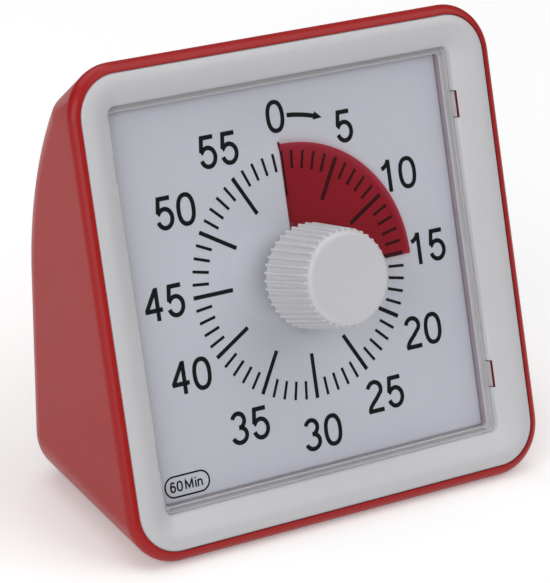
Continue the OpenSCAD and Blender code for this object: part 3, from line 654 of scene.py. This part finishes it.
def front_frame():
    o = build("front_frame", *frame_mesh(), DIAL, "frame", 34)
    for sx, sy in SIDES:
        x0, x1 = sorted(sx * x for x in SLOT_X)
        y = sy * TAB_Y
        # the slots' cut faces take the inside's darker red, painted shade
        cut(o, box((x0, y - SLOT_HALF, SLOT_LOW), (x1, y + SLOT_HALF, SLOT_TOP)), DIAL)
    # the inner wall below the window gets the painted shade colour
    o.data.materials.append(MATERIAL["frame_wall_shade"])
    to_dial = (TO_METRES @ DIAL).inverted()
    for face in o.data.polygons:
        c = to_dial @ face.center
        if face.material_index == 0 and c.z < SHADED_WALL_TOP and max(abs(c.x), abs(c.y)) < SHADED_WALL_HALF:
            face.material_index = 2
    sharpen(o.data, 34)
    return o


def frame_posts():
    """The posts behind the frame: four for the tray's screws, and two for the case's."""
    places = [(sx * SCREW_X, sy * TAB_Y, TRAY_POST_LOW) for sx, sy in SIDES]
    places += [(sx * SCREW_X, SCREW_Y, CASE_POST_LOW) for sx in (1, -1)]
    solids = [rod(x, y, POST_R, low, POST_TOP, 24) for x, y, low in places]
    return build("frame_posts", *join(solids), DIAL, "frame", 34)


bezel = front_frame()
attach(bezel, "root")
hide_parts("front_bezel")
posts = frame_posts()
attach(posts, "root")

# ---------------------------------------------------------------- the window
WINDOW_HALF, WINDOW_R, HOLE_R = 56.9, 2.2, 6
WINDOW_LOW, WINDOW_TOP, WINDOW_BEVEL = 2.5, 3.7, 0.22
TAB_X, TAB_HALF, TAB_LOW, TAB_TOP = (56.92, 57.35), 3.7, 0.35, 5.1


def clear_window():
    outlines = [flat(WINDOW_HALF, WINDOW_HALF, WINDOW_R), circle(0, 0, HOLE_R, 64)]
    o = plate("clear_window", outlines, WINDOW_LOW, WINDOW_TOP, WINDOW_BEVEL, DIAL, "window")
    o.data.materials.append(MATERIAL["edge"])
    # the rounded edge faces take the whitish edge material, the painted highlight
    for face in o.data.polygons:
        if face.use_smooth:
            face.material_index = 1
    return o


def window_tabs():
    solids = []
    for sx, sy in SIDES:
        x0, x1 = sorted(sx * x for x in TAB_X)
        solids.append(box((x0, sy * TAB_Y - TAB_HALF, TAB_LOW), (x1, sy * TAB_Y + TAB_HALF, TAB_TOP)))
    # the tabs take the same painted edge highlight
    return build("window_tabs", *join(solids), DIAL, "edge")


window = clear_window()
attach(window, "root")
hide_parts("window")
tabs = window_tabs()
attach(tabs, "root")

# ---------------------------------------------------------------- the card
SLIT_L, SLIT_R, SLIT_LOW, SLIT_END = -1.2, 0.1, 7.9, 38.3
SLIT_X = (SLIT_L + SLIT_R) / 2
CARD_HALF, CARD_RIGHT, CARD_LOW, CARD_T = 56.3, 54.95, 54.75, 0.35
CARD_HOLE_R = 8.0
# degrees clockwise from the slit, and how far back the card's face lies there
DROP = ((0, 1.9), (6, 1.8), (30, 1.25), (60, 0.95), (90, 0.42), (105, 0.18), (125, 0.0), (360, 0.0))
# beyond the slit's end: how far back on each side, and the degrees over which it fades
BEYOND_RIGHT, FADE_RIGHT = 1.155, 125
BEYOND_LEFT, FADE_LEFT = 1.1, 26
# where the bend by the slit gives way to the one beyond its end, by radius, and where the frame holds the
# card flat, by distance along x or y and by radius
SLIT_FADE = (SLIT_END - 4.0, SLIT_END + 2.0)
HELD_SQUARE, HELD_ROUND = (46.5, 55.0), (48.0, 54.0)
TINY = 1e-6


def smooth(a, b, x):
    u = min(max((x - a) / (b - a), 0.0), 1.0)
    return u * u * (3 - 2 * u)


def card_n(x, y, left=None):
    """Level of the card's face. It bends back to the right of its slit, and less beyond the slit's end."""
    r = math.hypot(x, y)
    angle = math.degrees(math.atan2(x - SLIT_X * min(1.0, max(y, 0.0) / 8), y))
    if left is not None and abs(x) < 2 and y > 0:
        angle = -0.01 if left else 0.01
    if angle >= 0:
        along = float(np.interp(angle, *zip(*DROP)))
        beyond = BEYOND_RIGHT * (1 - smooth(0, FADE_RIGHT, angle))
    else:
        along = 0.0
        beyond = BEYOND_LEFT * (1 - smooth(0, FADE_LEFT, -angle))
    past_end = smooth(*SLIT_FADE, r)
    free = (1 - smooth(*HELD_SQUARE, max(abs(x), abs(y)))) * (1 - smooth(*HELD_ROUND, r))
    return -((1 - past_end) * along + past_end * beyond) * free


def beside_slit(y):
    return SLIT_LOW < y < SLIT_END - TINY


def in_card(x0, x1, y0, y1):
    if SLIT_L - TINY < x0 and x1 < SLIT_R + TINY and beside_slit(y0):
        return False
    return max(math.hypot(x, y) for x in (x0, x1) for y in (y0, y1)) > CARD_HOLE_R


def card_mesh():
    """The card as a grid of cells with lines along the slit. Left out cells are the slit and the hole."""
    xs = sorted({*np.linspace(-CARD_HALF, SLIT_L - 1.5, 44), SLIT_L - 0.6, SLIT_L, SLIT_R, SLIT_R + 0.6,
                 *np.linspace(SLIT_R + 1.5, CARD_RIGHT, 44)})
    ys = sorted({*np.linspace(-CARD_LOW, 7.0, 40), 8.0, *np.linspace(9.5, SLIT_END - 1, 24), SLIT_END,
                 *np.linspace(SLIT_END + 1.5, CARD_HALF - 4.6, 12), CARD_HALF - 2, CARD_HALF})
    verts, faces, ids = [], [], {}

    def vert(x, y, left, under):
        key = (round(x, 4), round(y, 4), left, under)
        if key not in ids:
            verts.append((x, y, card_n(x, y, left) - (CARD_T if under else 0.0)))
            ids[key] = len(verts) - 1
        return ids[key]

    cells = {(i, j) for i in range(len(xs) - 1) for j in range(len(ys) - 1)
             if in_card(xs[i], xs[i + 1], ys[j], ys[j + 1])}
    for i, j in cells:
        x0, x1, y0, y1 = xs[i], xs[i + 1], ys[j], ys[j + 1]
        corners = []
        for x, y in ((x0, y0), (x1, y0), (x1, y1), (x0, y1)):
            left = (x0 + x1) / 2 < SLIT_X if beside_slit(y) else None
            corners.append((x, y, left))
        faces.append(tuple(vert(*p, False) for p in corners))
        faces.append(tuple(vert(*p, True) for p in reversed(corners)))
        for k, (di, dj) in enumerate(((0, -1), (1, 0), (0, 1), (-1, 0))):
            if (i + di, j + dj) not in cells:
                a, b = corners[k], corners[(k + 1) % 4]
                faces.append((vert(*a, True), vert(*b, True), vert(*b, False), vert(*a, False)))
    return verts, faces


card = build("printed_card", *card_mesh(), DIAL, "card", 40)
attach(card, "root")
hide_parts("dial_card")

# ---------------------------------------------------------------- printing on the card
PRINT_LOW, PRINT_HIGH = -0.02, 0.03
SIGHT_X, SIGHT_Y = -0.6306, 0.04  # how far a point must move, for each mm that it rises, to look the same
DIGIT_H, DIGIT_STROKE = 9.35, 1.3
DIGIT_STEP = 0.75  # from one digit to the next, as a share of the height
# the middle of each number's ink
PLACES = {
    "0": (-1.16, 45.68), "5": (21.37, 39.29), "10": (37.82, 22.7), "15": (44.59, 0.16), "20": (38.9, -23.6),
    "25": (22.91, -39.28), "30": (0.25, -45.71), "35": (-23.43, -38.78), "40": (-39.96, -21.05),
    "45": (-45.09, 0.62), "50": (-37.4, 25.05), "55": (-20.99, 39.45),
}
# strokes of the digits that the dial needs, as shares of the height
DIGITS = {
    "0": [arc(0, 0, 0.258, 0.437, 90, 450, 40, 0.86)],
    "1": [[(-0.185, 0.235), (-0.08, 0.285), (0.0, 0.35), (0.05, 0.42), (0.075, 0.497)],
          [(0.075, 0.5), (0.075, -0.5)]],
    "2": [arc(0, 0.21, 0.235, 0.235, 168, -25, 20) + [(0.14, 0.03), (0.02, -0.1), (-0.12, -0.23),
                                                    (-0.2, -0.33), (-0.235, -0.42), (-0.24, -0.447)],
          [(-0.29, -0.447), (0.285, -0.447)]],
    "3": [arc(-0.01, 0.225, 0.21, 0.22, 162, -90, 22), arc(-0.01, -0.215, 0.245, 0.23, 90, -164, 24)],
    "4": [[(0.115, 0.47), (-0.27, -0.175)], [(-0.31, -0.175), (0.29, -0.175)], [(0.12, 0.5), (0.12, -0.5)]],
    "5": [[(0.235, 0.445), (-0.165, 0.445), (-0.225, 0.005)],
          [(-0.235, -0.02)] + arc(0, -0.155, 0.247, 0.285, 148, -164, 26)],
    "6": [arc(0, -0.17, 0.235, 0.275, 180, 540, 30),
          [(-0.235, -0.17), (-0.235, 0.08), (-0.19, 0.3), (-0.1, 0.42), (0.02, 0.445), (0.12, 0.42),
           (0.2, 0.32)]],
}
# ticks: inner radius, outer radius and width
MAJOR_TICK, MINOR_TICK = (22.7, 35.7, 1.2), (30.3, 35.6, 0.85)
ZERO_TICK_W, ZERO_TICK_X = 0.65, SLIT_R + 0.33  # the one at 0 is narrow and stands beside the slit
ARROW_R, ARROW_SPAN, ARROW_TIP = 46, (4.6, 16.0), math.radians(19.4)
HEAD_L, HEAD_HALF, ARROW_SHIFT = 2.9, 1.25, (-0.95, -0.42)
LABEL_X, LABEL_Y = -46.17, -50.64
LABEL_OUTLINE, LABEL_STROKE = (7.2, 2.9, 2.88), 0.5
TEXT_W, TEXT_H, TEXT_STROKE, TEXT_X = 2.9, 2.95, 0.48, -3.55
# the letters M, i and n: where each stands, and its strokes
LETTERS = (
    (0.6, [[(-0.38, -0.45), (-0.38, 0.45), (0, -0.3), (0.38, 0.45), (0.38, -0.45)]]),
    (2.75, [[(0, -0.47), (0, 0.2)], [(0, 0.36), (0, 0.5)]]),
    (4.15, [[(-0.22, -0.47), (-0.22, 0.22)],
            [(-0.22, 0.02), (-0.1, 0.15), (0.06, 0.17), (0.2, 0.06), (0.22, -0.47)]]),
)


def ribbon(points, width, verts, faces):
    """Flat stroke along the points, cut into short lengths so that it can follow the bent card."""
    line = [points[0]]
    for a, b in zip(points, points[1:]):
        k = max(1, math.ceil(math.dist(a, b) / 1.1))
        line += [tuple(np.array(a) + (np.array(b) - np.array(a)) * i / k) for i in range(1, k + 1)]
    closed = math.dist(line[0], line[-1]) < TINY
    if closed:
        line.pop()
    n = len(line)
    base = len(verts)
    for i in range(n):
        p = Vector(line[i])
        a = Vector(line[i - 1]) if i or closed else None
        b = Vector(line[(i + 1) % n]) if i < n - 1 or closed else None
        came = (p - a).normalized() if a is not None else (b - p).normalized()
        goes = (b - p).normalized() if b is not None else came
        mitre = Vector((-(came + goes).y, (came + goes).x)).normalized()
        s = width / 2 / max(mitre.dot(Vector((-came.y, came.x))), 0.45)
        verts += [tuple(p + mitre * s), tuple(p - mitre * s)]
    for i in range(n if closed else n - 1):
        j = (i + 1) % n
        faces.append((base + 2 * i, base + 2 * i + 1, base + 2 * j + 1, base + 2 * j))


def settle(x, y):
    """The place on the bent card that shows at x, y of the flat one."""
    n = 0.0
    for _ in range(6):
        n = card_n(x + SIGHT_X * n, y + SIGHT_Y * n)
    return x + SIGHT_X * n, y + SIGHT_Y * n, n


def solid_print(name, verts, faces, seen=True):
    """Thin printed layer on the card. Seen places are moved to where they show on the bent card."""
    n = len(verts)
    at = [settle(x, y) if seen else (x, y, card_n(x, y)) for x, y in verts]
    both = [(x, y, z + level) for level in (PRINT_LOW, PRINT_HIGH) for x, y, z in at]
    skin = [tuple(reversed(q)) for q in faces] + [tuple(i + n for i in q) for q in faces]
    edges = {}
    for q in faces:
        for i in range(len(q)):
            e = (q[i], q[(i + 1) % len(q)])
            edges.setdefault(frozenset(e), []).append(e)
    for uses in edges.values():
        if len(uses) == 1:
            a, b = uses[0]
            skin.append((a, b, b + n, a + n))
    return build(name, both, skin, DIAL, "ink")


def write(text, x, y, height, width, verts, faces):
    """Digits whose inked box has its middle at x, y."""
    start = len(verts)
    for i, digit in enumerate(text):
        for stroke in DIGITS[digit]:
            ribbon([(i * height * DIGIT_STEP + px * height, py * height) for px, py in stroke],
                   width, verts, faces)
    ink = np.array(verts[start:])
    mid = (ink.min(0) + ink.max(0)) / 2
    verts[start:] = [(px - mid[0] + x, py - mid[1] + y) for px, py in verts[start:]]


def print_numerals():
    verts, faces = [], []
    for text, (x, y) in PLACES.items():
        write(text, x, y, DIGIT_H, DIGIT_STROKE, verts, faces)
    return solid_print("numerals", verts, faces)


def print_ticks():
    verts, faces = [], []
    for k in range(60):
        a = math.radians(6 * k)
        d = Vector((math.sin(a), math.cos(a)))
        inner, outer, width = MINOR_TICK if k % 5 else MAJOR_TICK
        shift = Vector((0, 0))
        if k == 0:
            width, shift = ZERO_TICK_W, Vector((ZERO_TICK_X, 0))
        ribbon([tuple(d * inner + shift), tuple(d * outer + shift)], width, verts, faces)
    return solid_print("scale_marks", verts, faces, seen=False)


def print_arrow():
    verts, faces = [], []
    ribbon([(ARROW_R * math.sin(a), ARROW_R * math.cos(a)) for a in spread(*ARROW_SPAN, 8)],
           DIGIT_STROKE, verts, faces)
    side = Vector((math.sin(ARROW_TIP), math.cos(ARROW_TIP)))
    along = Vector((math.cos(ARROW_TIP), -math.sin(ARROW_TIP)))
    tip = Vector((ARROW_R * math.sin(ARROW_TIP), ARROW_R * math.cos(ARROW_TIP)))
    base = len(verts)
    verts += [tuple(tip), tuple(tip - along * HEAD_L + side * HEAD_HALF),
              tuple(tip - along * HEAD_L - side * HEAD_HALF)]
    faces.append((base, base + 1, base + 2))
    moved = [(x + ARROW_SHIFT[0], y + ARROW_SHIFT[1]) for x, y in verts]
    return solid_print("direction_arrow", moved, faces)


def print_label():
    verts, faces = [], []
    outline = flat(*LABEL_OUTLINE, 12)
    ribbon(outline + outline[:1], LABEL_STROKE, verts, faces)
    verts[:] = [(x + LABEL_X, y + LABEL_Y) for x, y in verts]
    write("60", LABEL_X + TEXT_X, LABEL_Y, TEXT_H, LABEL_STROKE, verts, faces)
    for x, strokes in LETTERS:
        for stroke in strokes:
            ribbon([(LABEL_X + x + px * TEXT_W, LABEL_Y + py * TEXT_H) for px, py in stroke],
                   TEXT_STROKE, verts, faces)
    return solid_print("minutes_label", verts, faces)


numerals, ticks, arrow, label = print_numerals(), print_ticks(), print_arrow(), print_label()
for o in (numerals, ticks, arrow, label):
    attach(o, "root")

# ---------------------------------------------------------------- the red disc
DISC_R, HUB_R = 38.0, 6.0
DISC_LOW, SHEET = -2.3, 0.4
REST = math.radians(90.7)  # how much of the disc lies in front of the card at rest
SHEET_STEPS, SHEET_RADII = 90, (HUB_R, 14.0, 24.0, 32.0, DISC_R - 0.15)
SLIT_REACH = 1.3  # how far the sheet's start reaches left, into the slit
n0, dn = 0.05, 0.1  # the front sheet's lowest level, and its rise along the sweep


def front_sheet():
    """The part in front of the card. It rises along its sweep by as much as makes the blend's share of
    the knob's turn grow evenly, from none at the slit to all at its far edge."""
    rings = []
    for i in range(SHEET_STEPS + 1):
        s = i / SHEET_STEPS
        a = REST * s
        t = 0.5 - math.sin(math.asin(1 - 2 * s) / 3)  # t * t * (3 - 2 * t) is s
        reach = SLIT_REACH * (1 - s) ** 10
        rings.append([(r * math.sin(a) - (reach if r > HUB_R else 0.0), r * math.cos(a), n0 + dn * t)
                      for r in SHEET_RADII])
    return loft(rings, around=False)


def disc_front():
    o = build("disc_front", *front_sheet(), DIAL, "tinted", 60)
    if o.data.polygons[0].normal.dot(OUT_OF_DIAL) < 0:
        o.data.flip_normals()
    sheet = o.modifiers.new("sheet", "SOLIDIFY")
    sheet.thickness = 0.0002
    sheet.offset = 1.0
    return o


def disc_back():
    section = ((HUB_R, DISC_LOW), (DISC_R, DISC_LOW), (DISC_R, DISC_LOW - SHEET), (HUB_R, DISC_LOW - SHEET))
    rings = [[(x, y, n) for x, y in circle(0, 0, r, 96)] for r, n in section]
    return build("disc_back", *loft(rings, close=True), DIAL, "disc", 30)


front_disc = disc_front()
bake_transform(front_disc)
back_disc = disc_back()
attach(back_disc, "knob_body")
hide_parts("time_disc")

# ---------------------------------------------------------------- the knob
KNOB_FOOT, KNOB_TOP = 4.6, 25.5
KNOB_FOOT_R, KNOB_TOP_R = 14.45, 13.2  # without the ribs
RIBS, STEPS_PER_RIB = 40, 16
RIB_H, RIB_FOOT_H = 0.8, 0.5
SKIRT_END = 0.92  # share of the height up to which the ribs are full


def knob_profile():
    """From the foot to the front face: radius without ribs, level and the ribs' height."""
    profile = []
    for s in (0.0, 0.015, 0.04, 0.2, 0.5, 0.8, SKIRT_END):
        n = KNOB_FOOT + (KNOB_TOP - 1.9 - KNOB_FOOT) * s / SKIRT_END
        r = KNOB_FOOT_R + (KNOB_TOP_R - KNOB_FOOT_R) * (n - KNOB_FOOT) / (KNOB_TOP - 1.5 - KNOB_FOOT)
        profile.append((r, n, RIB_H) if s else (r - 0.25, n, RIB_FOOT_H))
    for out, down, height in ((0.02, 1.6, 0.72), (0.04, 1.5, 0.5), (0.08, 1.44, 0.2), (0.12, 1.38, 0.0)):
        profile.append((KNOB_TOP_R + out, KNOB_TOP - down, height))
    for a in (12, 25, 38, 51, 64, 77, 90):
        c, s = math.cos(math.radians(a)), math.sin(math.radians(a))
        profile.append((KNOB_TOP_R - 1.25 + 1.4 * c, KNOB_TOP - 1.4 + 1.4 * s + 0.02, 0.0))
    for inward, up in ((1.6, 0.02), (1.9, 0.0), (2.3, -0.04)):
        profile.append((KNOB_TOP_R - inward, KNOB_TOP + up, 0.0))
    return profile


# the underside and the bore, from the foot in: radius and level
KNOB_INSIDE = [
    (KNOB_FOOT_R - 1.9, KNOB_FOOT), (KNOB_FOOT_R - 2.1, KNOB_FOOT + 0.4), (KNOB_TOP_R - 1.9, KNOB_TOP - 3.0),
    (5.4, KNOB_TOP - 3.0), (5.4, -0.1), (3.02, -0.1), (3.02, 20.9),
]


def knob_mesh():
    count = RIBS * STEPS_PER_RIB
    rings = []
    for r, n, height in knob_profile():
        ring = []
        for i in range(count):
            a = 2 * math.pi * i / count
            phase = (i % STEPS_PER_RIB) / STEPS_PER_RIB - 0.5
            swell = math.cos(2 * math.pi * phase) ** 0.7 if abs(phase) < 0.25 else 0.0
            ring.append(((r + height * swell) * math.cos(a), (r + height * swell) * math.sin(a), n))
        rings.append(ring)
    verts, faces = loft(rings)
    middle = len(verts)
    verts.append((0, 0, KNOB_TOP - 0.06))
    last = (len(rings) - 1) * count
    faces += [(last + i, last + (i + 1) % count, middle) for i in range(count)]
    outer = 0
    for r, n in KNOB_INSIDE:
        inner = len(verts)
        verts += [(x, y, n) for x, y in circle(0, 0, r, count)]
        for i in range(count):
            j = (i + 1) % count
            faces.append((outer + i, inner + i, inner + j, outer + j))
        outer = inner
    faces.append(tuple(range(outer, outer + count)))
    return verts, faces


knob = build("fluted_knob", *knob_mesh(), DIAL, "knob", 38)
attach(knob, "knob_body")
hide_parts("knob")

# ---------------------------------------------------------------- softened edges of the CAD's own pieces
EDGE_WIDTH = {"battery_door": 0.35, "switch_slider": 0.25, "case_screws": 0.15, "rubber_feet": 0.3}
for name, width in EDGE_WIDTH.items():
    edge = node[name].modifiers.new("edge", "BEVEL")
    edge.width = width * 0.001
    edge.segments = 2
    edge.limit_method = "ANGLE"
    edge.angle_limit = math.radians(40)

# ---------------------------------------------------------------- floor, light and camera, in metres
FLOOR_W, FLOOR_Z = 12.0, -0.00003  # a hair below the feet, so that they don't share a plane
FLOOR_COLOUR, FLOOR_GLOW = (0.93, 0.93, 0.93), 0.23
WORLD_LIGHT = 0.17
AIM = (0, 0, 0.06)  # what the lights point at
# the lights: place, width and height, power
LIGHTS = {
    "key": ((0.85, -0.71, 1.42), (1.6, 1.6), 11.5),
    "fill": ((-1.45, -0.95, 0.95), (1.8, 1.4), 18.0),
    "top": ((-0.1, 0.5, 1.4), (1.4, 1.4), 9.0),
}
# the camera as fitted to the photograph: place in millimetres, directions, and focal length in pixels
CAMERA_AT = (-478.1, DIAL_Y - 662.4, DIAL_Z + 420.5)
RIGHT, UP, AHEAD = (0.8379, -0.5389, 0.0865), (0.1869, 0.4322, 0.8822), (0.5128, 0.7230, -0.4628)
FOCAL_PX, PHOTO_W_PX = 3235.56, 550


def floor_plate():
    """A pale floor. What the camera, a mirror or the window sees of it also glows a little."""
    half = FLOOR_W / 2
    corners = [(-half, -half, FLOOR_Z), (half, -half, FLOOR_Z), (half, half, FLOOR_Z), (-half, half, FLOOR_Z)]
    mesh = bpy.data.meshes.new("floor")
    mesh.from_pydata(corners, [], [(0, 1, 2, 3)])
    material, tree, surface = new_material("floor")
    darker = tuple(c * 0.995 for c in FLOOR_COLOUR)
    shown = mix_colours(tree, noise(tree, coords(tree), 6.0), darker, FLOOR_COLOUR)
    tree.links.new(shown, surface.inputs["Base Color"])
    surface.inputs["Roughness"].default_value = 0.9
    surface.inputs["Specular IOR Level"].default_value = 0.1
    path = tree.nodes.new("ShaderNodeLightPath").outputs
    through = math_node(tree, "MAXIMUM", path["Is Glossy Ray"], path["Is Transmission Ray"])
    seen = math_node(tree, "MAXIMUM", path["Is Camera Ray"], through)
    surface.inputs["Emission Color"].default_value = (1, 1, 1, 1)
    tree.links.new(math_node(tree, "MULTIPLY", seen, FLOOR_GLOW), surface.inputs["Emission Strength"])
    mesh.materials.append(material)
    return link("floor", mesh)


def world_light():
    world = bpy.data.worlds.new("studio")
    bpy.context.scene.world = world
    world.use_nodes = True
    background = world.node_tree.nodes["Background"]
    background.inputs["Color"].default_value = (1, 1, 1, 1)
    background.inputs["Strength"].default_value = WORLD_LIGHT


def area_light(name, at, size, power):
    light = bpy.data.lights.new(name, "AREA")
    light.shape = "RECTANGLE"
    light.size, light.size_y = size
    light.energy = power
    o = link(name, light)
    o.location = at
    o.rotation_euler = (Vector(AIM) - Vector(at)).to_track_quat("-Z", "Y").to_euler()


def fitted_camera():
    data = bpy.data.cameras.new("camera")
    data.sensor_fit = "HORIZONTAL"
    data.sensor_width = 36.0
    data.lens = FOCAL_PX / PHOTO_W_PX * data.sensor_width
    data.clip_end = 50
    camera = link("camera", data)
    rows = zip(RIGHT, UP, -Vector(AHEAD), Vector(CAMERA_AT) * 0.001)
    camera.matrix_world = Matrix([*rows, (0, 0, 0, 1)])
    return camera


floor = floor_plate()
world_light()
for name, (at, size, power) in LIGHTS.items():
    area_light(name, at, size, power)
bpy.context.scene.camera = fitted_camera()
bpy.context.scene.view_settings.view_transform = "Standard"
